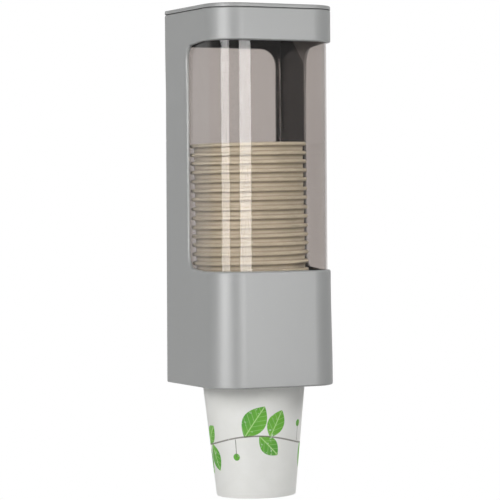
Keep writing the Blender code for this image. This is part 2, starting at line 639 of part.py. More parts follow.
def make_claw(name, degrees, body):
    """A claw, its soft lip and its screw, under an empty whose X runs along the slide."""
    slide = empty(f"claw_slide_{name}", body, (0.0, AXIS_Y, 0.0), (0.0, 0.0, math.radians(degrees)))
    side_view = [
        (CLAW_NOSE_RADIUS, CLAW_BOTTOM),
        (CLAW_END_RADIUS, CLAW_BOTTOM),
        (CLAW_END_RADIUS, CLAW_HEAD_TOP),
        (CLAW_STEP_RADIUS, CLAW_HEAD_TOP),
        (CLAW_STEP_RADIUS, CLAW_STEP_TOP),
        (CLAW_NOSE_RADIUS, CLAW_STEP_TOP),
    ]
    mesh = prism(f"claw_{name}", side_view, "Y", -CLAW_WIDTH / 2, CLAW_WIDTH / 2)
    claw = piece(f"claw_{name}", mesh, slide, "white_plastic")
    drill = SCREW_SHANK_RADIUS + TOUCH_GAP
    profile = ((drill, CLAW_BOTTOM - CUT_OVERRUN), (drill, CLAW_BOTTOM + CLAW_HOLE_DEPTH))
    hole = piece(
        f"claw_hole_{name}",
        turned(f"claw_hole_{name}", profile, SCREW_STEPS),
        slide,
        place=(CLAW_SCREW_RADIUS, 0.0, 0.0),
    )
    combine(claw, hole, "DIFFERENCE")

    reach = math.degrees(math.asin(CLAW_WIDTH / 2 / LIP_INNER_RADIUS))
    outer = CLAW_STEP_RADIUS - TOUCH_GAP
    tongue = arc((0.0, 0.0), LIP_INNER_RADIUS, reach, -reach, LIP_ARC_STEPS)
    tongue += [(outer, -CLAW_WIDTH / 2), (outer, CLAW_WIDTH / 2)]
    mesh = prism(f"claw_lip_{name}", tongue, "Z", LIP_TOP - LIP_THICKNESS, LIP_TOP)
    piece(f"claw_lip_{name}", mesh, slide, "silicone")

    length = GATE_THICKNESS + CLAW_SLIDE_GAP + CLAW_SCREW_ENGAGEMENT
    make_screw(f"claw_screw_{name}", slide, length, (CLAW_SCREW_RADIUS, 0.0, GATE_BOTTOM))


def make_wall_plate(wall):
    """The plate that stays on the wall, with its two headed studs and two countersunk screw holes."""
    outline = rounded(
        (-PLATE_WIDTH / 2, -PLATE_HEIGHT / 2),
        (PLATE_WIDTH / 2, PLATE_HEIGHT / 2),
        PLATE_CORNER_RADIUS,
        PLATE_CORNER_RADIUS,
        PLATE_CORNER_STEPS,
    )
    plate = piece("wall_plate", prism("wall_plate", outline, "Y", PLATE_FRONT_Y, PLATE_BACK_Y), wall, "grey_plastic")
    head_back = HOUSING_BACK_Y - HOUSING_WALL - TOUCH_GAP
    for side, x in (("left", -STUD_SPACING / 2), ("right", STUD_SPACING / 2)):
        profile = (
            (STUD_HEAD_RADIUS, head_back - STUD_HEAD_THICKNESS),
            (STUD_HEAD_RADIUS, head_back),
            (STUD_NECK_RADIUS, head_back),
            (STUD_NECK_RADIUS, PLATE_FRONT_Y + JOIN_DEPTH),
        )
        stud = turned(f"stud_{side}", profile, STUD_STEPS, "Y")
        combine(plate, piece(f"stud_{side}", stud, wall, place=(x, 0.0, STUD_ABOVE_CENTRE)), "UNION")
    taper = PLATE_SCREW_HEAD_RADIUS - PLATE_SCREW_HOLE_RADIUS
    for end, z in (("upper", PLATE_SCREW_SPACING / 2), ("lower", -PLATE_SCREW_SPACING / 2)):
        profile = (
            (PLATE_SCREW_HEAD_RADIUS + CUT_OVERRUN, PLATE_FRONT_Y - CUT_OVERRUN),
            (PLATE_SCREW_HOLE_RADIUS, PLATE_FRONT_Y + taper),
            (PLATE_SCREW_HOLE_RADIUS, PLATE_BACK_Y + CUT_OVERRUN),
        )
        hole = turned(f"plate_hole_{end}", profile, STUD_STEPS, "Y")
        combine(plate, piece(f"plate_hole_{end}", hole, wall, place=(0.0, 0.0, z)), "DIFFERENCE")


def make_adhesive_pad(wall):
    outline = rounded(
        (-PAD_WIDTH / 2, -PAD_HEIGHT / 2),
        (PAD_WIDTH / 2, PAD_HEIGHT / 2),
        PAD_CORNER_RADIUS,
        PAD_CORNER_RADIUS,
        PLATE_CORNER_STEPS,
    )
    piece("adhesive_pad", prism("adhesive_pad", outline, "Y", -PAD_THICKNESS, 0.0), wall, "foam_tape")


def make_bumpers(body):
    """Two soft feet on the housing's back that keep its upper end off the wall."""
    for side, x in (("left", -BUMPER_SPACING / 2), ("right", BUMPER_SPACING / 2)):
        name = f"wall_bumper_{side}"
        mesh = prism(name, circle(BUMPER_RADIUS, BUMPER_STEPS), "Y", TOUCH_GAP, -HOUSING_BACK_Y)
        piece(name, mesh, body, "rubber", place=(x, 0.0, BUMPER_HEIGHT))


def main():
    clear_scene()
    wall = empty("wall_mount")
    body = empty("dispenser_body", wall, (0.0, HOUSING_BACK_Y, -PLATE_CENTRE_HEIGHT))
    make_wall_plate(wall)
    make_adhesive_pad(wall)
    make_housing(body)
    make_sleeve(body)
    make_lid(body)
    make_hinge_pins(body)
    make_gate(body)
    for name, degrees in CLAW_CORNERS.items():
        make_claw(name, degrees, body)
    make_bumpers(body)
    make_cups(body)


main()
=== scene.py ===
import math

import bmesh
import bpy
from mathutils import Matrix, Vector
from mathutils.bvhtree import BVHTree


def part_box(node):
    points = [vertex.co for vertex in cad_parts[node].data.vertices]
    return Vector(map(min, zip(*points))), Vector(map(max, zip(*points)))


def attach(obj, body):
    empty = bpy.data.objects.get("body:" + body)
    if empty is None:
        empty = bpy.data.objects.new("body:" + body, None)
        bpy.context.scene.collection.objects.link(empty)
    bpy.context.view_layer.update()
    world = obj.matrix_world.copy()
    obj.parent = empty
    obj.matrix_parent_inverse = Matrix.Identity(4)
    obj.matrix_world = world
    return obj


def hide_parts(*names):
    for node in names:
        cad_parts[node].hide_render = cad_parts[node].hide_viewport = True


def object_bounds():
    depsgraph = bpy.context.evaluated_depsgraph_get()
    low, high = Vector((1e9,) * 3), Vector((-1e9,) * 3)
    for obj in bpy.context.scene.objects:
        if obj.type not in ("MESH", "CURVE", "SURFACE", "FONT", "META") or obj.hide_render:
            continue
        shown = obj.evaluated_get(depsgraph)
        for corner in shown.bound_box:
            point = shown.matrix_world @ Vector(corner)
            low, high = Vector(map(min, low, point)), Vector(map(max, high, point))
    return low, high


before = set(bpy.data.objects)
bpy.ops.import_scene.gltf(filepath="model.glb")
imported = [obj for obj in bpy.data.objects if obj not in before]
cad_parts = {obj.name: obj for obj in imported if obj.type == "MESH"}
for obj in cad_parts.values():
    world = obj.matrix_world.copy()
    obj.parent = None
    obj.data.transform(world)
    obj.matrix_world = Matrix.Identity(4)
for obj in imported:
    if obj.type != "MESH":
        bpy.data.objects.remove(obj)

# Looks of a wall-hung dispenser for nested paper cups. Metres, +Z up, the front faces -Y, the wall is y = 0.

CAD_BOX = [list(corner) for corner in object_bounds()]
MM = 0.001
HALF_MM = 0.5 * MM

# Where the housing's lower edge and back face lie.
HOUSING_FOOT = Vector((0.0, -3.8, -40.0)) * MM

# Camera, from the photograph's perspective: left of the front, a little above, far away.
CAMERA_AZIMUTH = 25.39
CAMERA_PITCH = 1.178
CAMERA_ROLL = -0.40
CAMERA_DISTANCE = 1570.0 * MM
CAMERA_AIM_ACROSS = 16.30 * MM
CAMERA_AIM_UP = 86.10 * MM
FOCAL_PIXELS = 2355.6
IMAGE_PIXELS = 500.0
SENSOR_WIDTH = 36.0

HOUSING_WALL = 1.8 * MM
WINDOW_BOTTOM = 74.2 * MM
WINDOW_TOP = 220.3 * MM
WINDOW_LIP_ROUND = 1.3 * MM

# Clear sleeve.
SLEEVE_WALL = 1.0 * MM
SLEEVE_FRONT_RADIUS = 17.2 * MM
SLEEVE_REAR_RADIUS = 4.0 * MM
SLEEVE_EDGE_ROUND = 0.25 * MM
SLEEVE_STEPS = 24
LEAST_RADIUS = 0.3 * MM

# Paper cup, heights from its own lower edge.
CUP_HEIGHT = 94.0 * MM
CUP_BASE_RADIUS = 25.7 * MM
CUP_WALL_TOP_RADIUS = 35.2 * MM
CUP_WALL_TOP = 91.4 * MM
CUP_CURL_RADIUS = 1.25 * MM
CUP_RIM_RADIUS = 37.5 * MM
CUP_PAPER = 0.30 * MM
CUP_FOLD = CUP_PAPER * 2.2
CUP_FLOOR = 5.5 * MM
CUP_SEAM_RISE = 0.16 * MM
CUP_SEAM_WIDTH = 0.024
CUP_SEAM_SLOPE = 0.004
CUP_CURL_STEPS = 13
CUP_CURL_START = -118
CUP_CURL_END = 170
CUP_OUTER_SHARES = (0.06, 0.25, 0.5, 0.75, 0.93, 1.0)
CUP_INNER_SHARES = (0.985, 0.75, 0.5, 0.25)
CUP_OUTER_POINTS = range(6, 13)
CUP_STEPS = 96
CUP_PITCH = 5.8488 * MM
STACKED_CUPS = 23
STACK_UNEVENNESS = 0.36 * MM
STACK_LEAN = math.radians(1.00287)
STACK_SEED = 7
HANGING_CUP_TURN = math.radians(-160.0)
CUP_AXIS = Vector((0.0, -41.65, 19.404)) * MM + HOUSING_FOOT

# Screws, pins and bumpers.
SCREW_HEAD_RADIUS = 2.0 * MM
SCREW_HEAD_HEIGHT = 1.3 * MM
SCREW_SHANK_RADIUS = 1.1 * MM
SCREW_THREAD_PITCH = 0.8 * MM
SCREW_THREAD_DEPTH = 0.2 * MM
SCREW_STEPS = 32
RECESS_ARM = 1.15 * MM
RECESS_HALF_SLOT = 0.28 * MM
RECESS_DEPTH = 0.75 * MM
CLAMP_SCREW_TURN = 23.0
CLAMP_SCREW_TURN_MORE = 31.0
PIN_CHAMFER = 0.25 * MM
PIN_STEPS = 24
BUMPER_ROUND = 1.2 * MM
BUMPER_DISH = 0.35 * MM
BUMPER_STEPS = 48
CORNERS = ("front_left", "front_right", "rear_left", "rear_right")

# Solids that are softened: how edges and faces are told apart. Angles in degrees.
SHARP_EDGE = 35.0
FLAT_WITHIN = 0.6
WELD = 0.002 * MM
LEVEL_FACE = 0.7
UPRIGHT_FACE = 0.5
FACES_OUT = 0.3
SMOOTH_UP_TO = 32.0
MOULDED_SMOOTH_UP_TO = 50.0
TURNED_SMOOTH_UP_TO = 40.0

PLASTIC_GRAIN = 0.012 * MM

# Smoke tint of the clear sleeve: along its walls, at grazing angles, and for the light that falls through it.
SMOKE_DEEP = (0.600, 0.564, 0.546)
SMOKE_PALE = (0.625, 0.591, 0.572)
SMOKE_ASLANT = (0.08, 0.070, 0.067)
SMOKE_FILM = (0.87, 0.86, 0.84)

# Paper, and the straw tint of its lip band.
PAPER_DIM = (0.870, 0.870, 0.835)
PAPER_BRIGHT = (0.895, 0.895, 0.865)
PAPER_FIBRE = (0.74, 0.73, 0.68)
STRAW_DARK = (0.456, 0.420, 0.322)
STRAW_LIGHT = (0.526, 0.486, 0.380)
# Painted shade: the dark colour painted under each cup's lip and along the line where its wall comes out of the cup
# below.
PAINTED_LIP_SHADE = (0.17, 0.14, 0.09)

# Heights on the cup, as shares of its full height: the straw band, the painted shade in the crease below the lip and
# a painted shadow line below that, where the cup's wall comes out of the cup below it.
LIP_BAND_START = 0.865
LIP_BAND_END = 0.880
NESTING_SHADE_START = 0.934
NESTING_SHADE_MIDDLE = 0.941
NESTING_SHADE_END = 0.950
LIP_SHADE_START = 0.953
LIP_SHADE_MIDDLE = 0.972
LIP_SHADE_END = 0.982
# How dark the painted shadow line under the lip is.
NESTING_SHADE_DEPTH = 0.34

# Printed vine: inks, how well each covers the paper, and the cell that repeats round the cup, in millimetres.
LEAF_DARK = (0.062, 0.345, 0.003)
LEAF_LIGHT = (0.125, 0.465, 0.005)
LEAF_RIB = (0.50, 0.76, 0.30)
STEM_INK = (0.13, 0.12, 0.085)
LEAF_COVER = 0.96
RIB_COVER = 0.85
STEM_COVER = 0.80
VINE_CELLS = 4.0
VINE_CELL_WIDTH = 46.0
VINE_WALL_HEIGHT = 94.0
VINE_MIDDLE = 37.0
VINE_WAVE = 3.6

# Small parts' colours.
SILICONE_DIM = (0.60, 0.60, 0.57)
SILICONE_PALE = (0.70, 0.70, 0.68)
SILICONE_DUST = (0.42, 0.40, 0.36)
ZINC_BLUISH = (0.50, 0.52, 0.55)
ZINC_PALE = (0.66, 0.66, 0.64)
FOAM_DIM = (0.70, 0.70, 0.66)
FOAM_PALE = (0.82, 0.82, 0.79)
RUBBER_BLACK = (0.022, 0.022, 0.023)
RUBBER_BLOOM = (0.060, 0.060, 0.058)


class Value:
    """A socket in a finish. Arithmetic on it adds the Math nodes that do it."""

    def __init__(self, finish, socket):
        self.finish = finish
        self.socket = socket

    def maths(self, operation, *others):
        return self.finish.node("ShaderNodeMath", {"operation": operation}, dict(enumerate((self, *others))))

    def __add__(self, other):
        return self.maths("ADD", other)

    def __mul__(self, other):
        return self.maths("MULTIPLY", other)

    def __sub__(self, other):
        return self.maths("SUBTRACT", other)

    def __rsub__(self, other):
        return self.finish.node("ShaderNodeMath", {"operation": "SUBTRACT"}, {0: other, 1: self})

    def __truediv__(self, other):
        return self.maths("DIVIDE", other)

    def __lt__(self, other):
        return self.maths("LESS_THAN", other)

    def __gt__(self, other):
        return self.maths("GREATER_THAN", other)

    def __abs__(self):
        return self.maths("ABSOLUTE")

    __radd__ = __add__
    __rmul__ = __mul__

    def step(self, low, high):
        """Runs smoothly from 0 at low to 1 at high."""
        return self.finish.node(
            "ShaderNodeMapRange",
            {"interpolation_type": "SMOOTHSTEP"},
            {"Value": self, "From Min": low, "From Max": high},
        )


class Finish:
    """A material in the making, with its Principled shader."""

    def __init__(self, name, **constants):
        self.material = bpy.data.materials.new(name)
        self.material.use_nodes = True
        self.tree = self.material.node_tree
        self.shader = self.tree.nodes["Principled BSDF"]
        for socket, value in constants.items():
            self.put(self.shader.inputs[socket.replace("_", " ")], value)

    def put(self, socket, value):
        """Links a Value to the socket, or sets a plain number, vector or colour on it."""
        if isinstance(value, Value):
            self.tree.links.new(value.socket, socket)
        elif socket.type == "RGBA":
            socket.default_value = (*value[:3], 1.0)
        else:
            socket.default_value = value

    def node(self, kind, settings=None, inputs=None, output=0):
        """Adds a node: its settings first, then the values or links of its sockets."""
        made = self.tree.nodes.new(kind)
        for key, value in (settings or {}).items():
            setattr(made, key, value)
        for key, value in (inputs or {}).items():
            self.put(made.inputs[key], value)
        return Value(self, made.outputs[output])

    def set(self, socket, value):
        """Sets or links one of the shader's own sockets."""
        self.put(self.shader.inputs[socket], value)

    def place(self):
        """The point's place in its object's own frame."""
        return self.node("ShaderNodeTexCoord", output="Object")

    def stretched(self, scale):
        return self.node("ShaderNodeMapping", None, {"Vector": self.place(), "Scale": scale})

    def noise(self, where, scale, detail=2.0, roughness=0.5):
        return self.node(
            "ShaderNodeTexNoise", None, {"Vector": where, "Scale": scale, "Detail": detail, "Roughness": roughness}
        )

    def mix(self, factor, first, second):
        """Colour between first and second."""
        return self.node("ShaderNodeMix", {"data_type": "RGBA"}, {0: factor, 6: first, 7: second}, output=2)

    def shade(self, name):
        """A number that the mesh's faces carry."""
        return self.node("ShaderNodeAttribute", {"attribute_name": name}, output="Fac")

    def bump(self, height, distance, strength):
        return self.node("ShaderNodeBump", None, {"Height": height, "Distance": distance, "Strength": strength})


def moulded_plastic(name, dark, light, edge, roughness, sheen=0.5):
    """Injection-moulded plastic: a fine spark-eroded grain, faint flow shading, rubbed edges and settled dust.

    sheen is how strongly the skin mirrors, 0.5 for a plain one.
    """
    f = Finish(name, IOR=1.47, Specular_IOR_Level=sheen)
    where = f.place()
    cloud = f.noise(where, scale=22.0, detail=4.0, roughness=0.55)
    streaks = f.noise(f.stretched((40.0, 40.0, 5.0)), scale=1.0, detail=3.0)
    grain_cells = f.noise(where, scale=1500.0, detail=3.0, roughness=0.6)
    fine = f.noise(where, scale=5200.0, detail=2.0)
    worn = f.shade("worn")
    rub = worn * f.noise(where, scale=160.0, detail=3.0).step(0.35, 0.62)
    tone = (cloud * 0.6 + streaks * 0.4).step(0.30, 0.70)
    colour = f.mix(tone, dark, light)
    colour = f.mix(rub * 0.55, colour, edge)
    specks = f.noise(where, scale=900.0, detail=1.0).step(0.70, 0.78)
    colour = f.mix(specks * 0.16, colour, edge)
    f.set("Base Color", colour)
    f.set("Roughness", roughness + (cloud - 0.5) * 0.08 + (grain_cells - 0.5) * 0.06 - rub * 0.08)
    f.set("Normal", f.bump(grain_cells * 0.8 + fine * 0.2, distance=PLASTIC_GRAIN, strength=0.5))
    return f.material


def smoked_sleeve():
    """Clear extruded plastic with a smoke tint, drawn lines along it, fine scratches and a little haze.

    Looked at aslant, the wall is thicker to the eye, so its tint is deeper.
    """
    f = Finish("smoke_clear_plastic", Transmission_Weight=1.0, IOR=1.225)
    drawn = f.noise(f.stretched((420.0, 420.0, 3.0)), scale=1.0, detail=2.0)
    cloud = f.noise(f.place(), scale=14.0, detail=3.0)
    scratches = f.noise(f.stretched((900.0, 900.0, 60.0)), scale=1.0, detail=4.0, roughness=0.7).step(0.62, 0.74)
    aslant = f.node("ShaderNodeLayerWeight", None, {"Blend": 0.5}, output="Facing")
    tint = f.mix(cloud.step(0.3, 0.7), SMOKE_DEEP, SMOKE_PALE)
    f.set("Base Color", f.mix(aslant * aslant * aslant, tint, SMOKE_ASLANT))
    f.set("Roughness", 0.004 + drawn * 0.006 + scratches * 0.02)
    f.set("Normal", f.bump(drawn + scratches * 0.25, distance=0.008 * MM, strength=0.01))
    path = f.node("ShaderNodeLightPath", output="Is Shadow Ray")
    clear = f.node("ShaderNodeBsdfTransparent", None, {"Color": SMOKE_FILM})
    surface = f.node("ShaderNodeMixShader", None, {0: path, 1: Value(f, f.shader.outputs[0]), 2: clear})
    f.tree.links.new(surface.socket, f.tree.nodes["Material Output"].inputs["Surface"])
    return f.material


def cup_board():
    """White coated paper board: fibres, faint mottling, a straw-coloured lip band and a printed vine."""
    f = Finish("cup_paper", IOR=1.45, Specular_IOR_Level=0.28)
    where = f.place()
    wrap = f.node("ShaderNodeUVMap", {"uv_map": "wrap"})
    around = f.node("ShaderNodeSeparateXYZ", None, {"Vector": wrap}, output="X")
    up = Value(f, around.socket.node.outputs["Y"])
    outside = f.shade("outside")
    drawn = f.node("ShaderNodeMapping", None, {"Vector": where, "Scale": (1.0, 1.0, 0.35)})
    fibres = f.noise(drawn, scale=1400.0, detail=5.0, roughness=0.65)
    mottle = f.noise(where, scale=85.0, detail=4.0)
    colour = f.mix(mottle.step(0.3, 0.7), PAPER_DIM, PAPER_BRIGHT)
    colour = f.mix(fibres.step(0.56, 0.80) * 0.35, colour, PAPER_FIBRE)
    band = up.step(LIP_BAND_START, LIP_BAND_END)
    colour = f.mix(band, colour, f.mix(mottle.step(0.3, 0.7), STRAW_DARK, STRAW_LIGHT))
    # Painted shade: a dark band in the crease under the rolled lip, darkest just below the lip.
    lip_shade = up.step(LIP_SHADE_START, LIP_SHADE_MIDDLE) * (1.0 - up.step(LIP_SHADE_MIDDLE, LIP_SHADE_END))
    # rub here is no wear: it is a painted shadow line where the cup's wall comes out of the cup below it.
    rub = up.step(NESTING_SHADE_START, NESTING_SHADE_MIDDLE) * (1.0 - up.step(NESTING_SHADE_MIDDLE, NESTING_SHADE_END))
    colour = f.mix((lip_shade * (0.70 + mottle * 0.2) + rub * NESTING_SHADE_DEPTH) * outside, colour, PAINTED_LIP_SHADE)
    leaf, rib, line = vine(f, around, up)
    ink_wear = f.noise(where, scale=420.0, detail=4.0).step(0.18, 0.40)
    print_area = outside * ink_wear
    green = f.mix(f.noise(where, scale=60.0, detail=3.0).step(0.3, 0.7), LEAF_DARK, LEAF_LIGHT)
    colour = f.mix(leaf * print_area * LEAF_COVER, colour, green)
    colour = f.mix(rib * print_area * RIB_COVER, colour, LEAF_RIB)
    colour = f.mix(line * print_area * STEM_COVER, colour, STEM_INK)
    f.set("Base Color", colour)
    f.set("Roughness", 0.50 + fibres * 0.20 - leaf * outside * 0.08)
    f.set("Normal", f.bump(fibres, distance=0.012 * MM, strength=0.5))
    return f.material


def leaf_shape(x, y, length, half_width, tilt):
    """Masks (leaf, veins) of a leaf whose stalk end is at the origin of x and y, all in millimetres."""
    turn = math.radians(tilt)
    along = (x * math.cos(turn) + y * math.sin(turn)) / length
    off = y * math.cos(turn) - x * math.sin(turn)
    half = along * (1.0 - along) * (4.0 * half_width)
    inside = (half - abs(off)).step(-0.12, 0.20)
    rib = 1.0 - abs(off).step(0.18, 0.48)
    side_veins = ((along * length - abs(off) * 0.9) * 1.7).maths("SINE").step(0.84, 1.0) * 0.5
    return inside, inside * rib.maths("MAXIMUM", side_veins)


def vine(f, around, up):
    """Masks (leaf, rib, line) of a printed vine that runs round the cup, from its wrap coordinates.

    Cells repeat round the cup. The stem waves through them. Each cell holds a large and a middling leaf that point up
    or down by turns, a small leaf on the other side and a berry on a stalk. Lengths are in millimetres.
    """
    cells = around * VINE_CELLS
    side = 1.0 - cells.maths("FLOOR").maths("MODULO", 2.0) * 2.0
    across = (cells.maths("FRACT") - 0.5) * VINE_CELL_WIDTH
    height = up * VINE_WALL_HEIGHT - VINE_MIDDLE
    wave = (cells * math.pi).maths("SINE") * VINE_WAVE
    stem = 1.0 - abs(height - wave).step(0.30, 0.66)
    flipped = height * side
    large, large_veins = leaf_shape(across + 7.0, flipped - 2.6, length=24.0, half_width=7.4, tilt=57.0)
    middling, middling_veins = leaf_shape(across - 9.5, flipped - 2.4, length=19.0, half_width=5.8, tilt=66.0)
    small, small_veins = leaf_shape(across - 2.5, 3.6 - flipped, length=18.0, half_width=5.6, tilt=46.0)
    berry_x, berry_y = across + 13.0, flipped + 10.0
    reach = (berry_x * berry_x + berry_y * berry_y).maths("SQRT")
    berry = 1.0 - reach.step(2.1, 2.5)
    stalk = (1.0 - abs(berry_x).step(0.14, 0.42)) * (berry_y > 0.0) * (flipped < 1.5)
    leaf = large.maths("MAXIMUM", middling).maths("MAXIMUM", small).maths("MAXIMUM", berry)
    veins = large_veins.maths("MAXIMUM", middling_veins).maths("MAXIMUM", small_veins)
    return leaf, veins, stem.maths("MAXIMUM", stalk)


def silicone():
    """Soft translucent rubber with a matt skin and a few dust specks."""
    f = Finish("soft_silicone", Subsurface_Weight=0.25, Subsurface_Scale=1.5 * MM, IOR=1.41)
    cloud = f.noise(f.place(), scale=140.0, detail=3.0)
    specks = f.noise(f.place(), scale=1300.0, detail=1.0).step(0.68, 0.76)
    f.set("Base Color", f.mix(specks * 0.4, f.mix(cloud, SILICONE_DIM, SILICONE_PALE), SILICONE_DUST))
    f.set("Roughness", 0.50 + cloud * 0.18)
    f.set("Normal", f.bump(f.noise(f.place(), scale=1700.0, detail=3.0), distance=0.02 * MM, strength=0.5))
    return f.material


def plated_steel():
    """Zinc-plated steel: turned rings round each head, bluish patches and dull wear."""
    f = Finish("zinc_plated_steel", Metallic=1.0)
    where = f.place()
    patch = f.noise(where, scale=520.0, detail=4.0)
    lines = f.noise(f.stretched((3000.0, 3000.0, 9000.0)), scale=1.0, detail=2.0)
    f.set("Base Color", f.mix(patch.step(0.3, 0.7), ZINC_BLUISH, ZINC_PALE))
    f.set("Roughness", 0.24 + patch * 0.14 + lines * 0.10)
    f.set("Normal", f.bump(lines, distance=0.008 * MM, strength=0.6))
    return f.material


def foam_tape():
    """Closed-cell foam with a pebbled face."""
    f = Finish("white_foam_tape")
    cells = f.node("ShaderNodeTexVoronoi", None, {"Vector": f.place(), "Scale": 1800.0}, output="Distance")
    cloud = f.noise(f.place(), scale=90.0, detail=3.0)
    f.set("Base Color", f.mix(cloud, FOAM_DIM, FOAM_PALE))
    f.set("Roughness", 0.86 + cells * 0.1)
    f.set("Normal", f.bump(cells, distance=0.10 * MM, strength=0.7))
    return f.material


def black_rubber():
    """Dull rubber with a bloom that pales it in patches."""
    f = Finish("black_rubber", IOR=1.5)
    cloud = f.noise(f.place(), scale=260.0, detail=4.0)
    fine = f.noise(f.place(), scale=2600.0, detail=2.0)
    f.set("Base Color", f.mix(cloud.step(0.45, 0.8), RUBBER_BLACK, RUBBER_BLOOM))
    f.set("Roughness", 0.70 + cloud * 0.2)
    f.set("Normal", f.bump(fine, distance=0.03 * MM, strength=0.6))
    return f.material


def mesh_from(name, build, sharp=SMOOTH_UP_TO):
    """Closes a bmesh into a mesh with smooth faces and sharp edges above the angle."""
    build.normal_update()
    mesh = bpy.data.meshes.new(name)
    build.to_mesh(mesh)
    build.free()
    mesh.shade_smooth()
    mesh.set_sharp_from_angle(angle=math.radians(sharp))
    return mesh


def piece(name, mesh, finish, body, nodes=(), inner_finish=None):
    """A shown piece that rides on a body and stands for some solids. Its faces marked 1 take inner_finish."""
    made = bpy.data.objects.new(name, mesh)
    bpy.context.scene.collection.objects.link(made)
    if not mesh.materials:
        mesh.materials.append(finish)
    if inner_finish:
        mesh.materials.append(inner_finish)
    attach(made, body)
    if nodes:
        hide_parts(*nodes)
    return made


def evaluated(mesh, modify):
    """The mesh after the modifiers that modify adds to an object of it, as a plain mesh."""
    carrier = bpy.data.objects.new("carrier", mesh)
    bpy.context.scene.collection.objects.link(carrier)
    modify(carrier)
    bpy.context.view_layer.update()
    graph = bpy.context.evaluated_depsgraph_get()
    finished = carrier.evaluated_get(graph)
    result = bpy.data.meshes.new_from_object(finished, preserve_all_data_layers=True, depsgraph=graph)
    bpy.data.objects.remove(carrier)
    return result


def in_material(surface, point):
    """Whether a point lies in the material that the closed surface bounds."""
    place, normal = surface.find_nearest(point)[:2]
    return (point - place).dot(normal) < 0.0


def outwards_at(point):
    """The level direction from the housing's axis to a point."""
    return Vector((point.x, point.y - CUP_AXIS.y, 0.0)).normalized()


def inner_skin(surface, face):
    """Whether a face of the housing belongs to its inner side, which takes the near-black finish."""
    centre = face.calc_center_median()
    outwards = outwards_at(centre)
    past_wall = HOUSING_WALL + HALF_MM
    if abs(face.normal.z) > LEVEL_FACE:
        return in_material(surface, centre + outwards * past_wall)
    return face.normal.dot(outwards) < -FACES_OUT and not in_material(surface, centre - face.normal * past_wall)


def underside(surface, face):
    """Whether a face looks down."""
    return face.normal.z < -LEVEL_FACE


def on_outer_skin(face):
    """Whether a face belongs to the housing's outside, looked at from its axis."""
    outwards = outwards_at(face.calc_center_median())
    return abs(face.normal.z) < UPRIGHT_FACE and face.normal.dot(outwards) > FACES_OUT


def window_edges(outer):
    """Chooses the edges of the housing's windows, on the outer side or on the inner one."""

    def chosen(edge):
        heights = [vert.co.z - HOUSING_FOOT.z for vert in edge.verts]
        inside_windows = min(heights) > WINDOW_BOTTOM - HALF_MM and max(heights) < WINDOW_TOP + HALF_MM
        return inside_windows and any(on_outer_skin(face) for face in edge.link_faces) == outer

    return chosen


def round_edges(build, chosen, width, segments, rub, clamp=False):
    """Rounds the chosen sharp edges. The roundings carry the attribute worn, as strong as rub, and the outer finish."""
    least = math.radians(SHARP_EDGE)
    sharp = [e for e in build.edges if e.is_manifold and e.calc_face_angle(0.0) > least and chosen(e)]
    made = bmesh.ops.bevel(
        build, geom=sharp, offset=width, offset_type="OFFSET", segments=segments, profile=0.5, affect="EDGES",
        clamp_overlap=clamp,
    )
    worn = build.faces.layers.float["worn"]
    for face in made["faces"]:
        face[worn] = rub
        face.material_index = 0
    build.normal_update()


def softened(node, width, segments=2, dark_inner=None, wide=()):
    """A copy of a solid with its sharp edges rounded. Faces of the roundings carry the attribute worn.

    Faces for which raw is true are marked 1, for their own finish. wide gives the roundings that come first, each as
    the edges it takes, its width and its segments.
    """
    build = bmesh.new()
    build.from_mesh(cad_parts[node].data)
    bmesh.ops.remove_doubles(build, verts=build.verts, dist=WELD)
    build.normal_update()
    build.faces.layers.float.new("worn")
    for face in build.faces:
        face.material_index = 0
    if dark_inner:
        surface = BVHTree.FromBMesh(build)
        marked = [face for face in build.faces if dark_inner(surface, face)]
        for face in marked:
            face.material_index = 1
    bmesh.ops.dissolve_limit(
        build, angle_limit=math.radians(FLAT_WITHIN), verts=build.verts, edges=build.edges, delimit={"MATERIAL"}
    )
    for chosen, reach, steps in wide:
        round_edges(build, chosen, reach, steps, rub=0.4)
    round_edges(build, lambda edge: edge.calc_length() > width / 2, width, segments, rub=1.0, clamp=True)
    mesh = mesh_from(node, build, MOULDED_SMOOTH_UP_TO)

    def weigh(carrier):
        step = carrier.modifiers.new("weighted", "WEIGHTED_NORMAL")
        step.keep_sharp = True
        step.weight = 100

    return evaluated(mesh, weigh)


def loft(name, rings, around=False):
    """Skins rings of points. With around, the last ring meets the first; otherwise both ends are capped."""
    build = bmesh.new()
    rows = [[build.verts.new(point) for point in ring] for ring in rings]
    pairs = list(zip(rows, rows[1:]))
    if around:
        pairs.append((rows[-1], rows[0]))
    else:
        build.faces.new(rows[0])
        build.faces.new(rows[-1])
    for low, high in pairs:
        for i in range(len(low)):
            j = (i + 1) % len(low)
            build.faces.new((low[i], low[j], high[j], high[i]))
    bmesh.ops.recalc_face_normals(build, faces=build.faces)
    return mesh_from(name, build)


def arc(centre, radius, start, end, steps):
    """Points on an arc from start to end, both in degrees."""
    turns = [math.radians(start + (end - start) * i / steps) for i in range(steps + 1)]
    return [(centre[0] + radius * math.cos(t), centre[1] + radius * math.sin(t)) for t in turns]


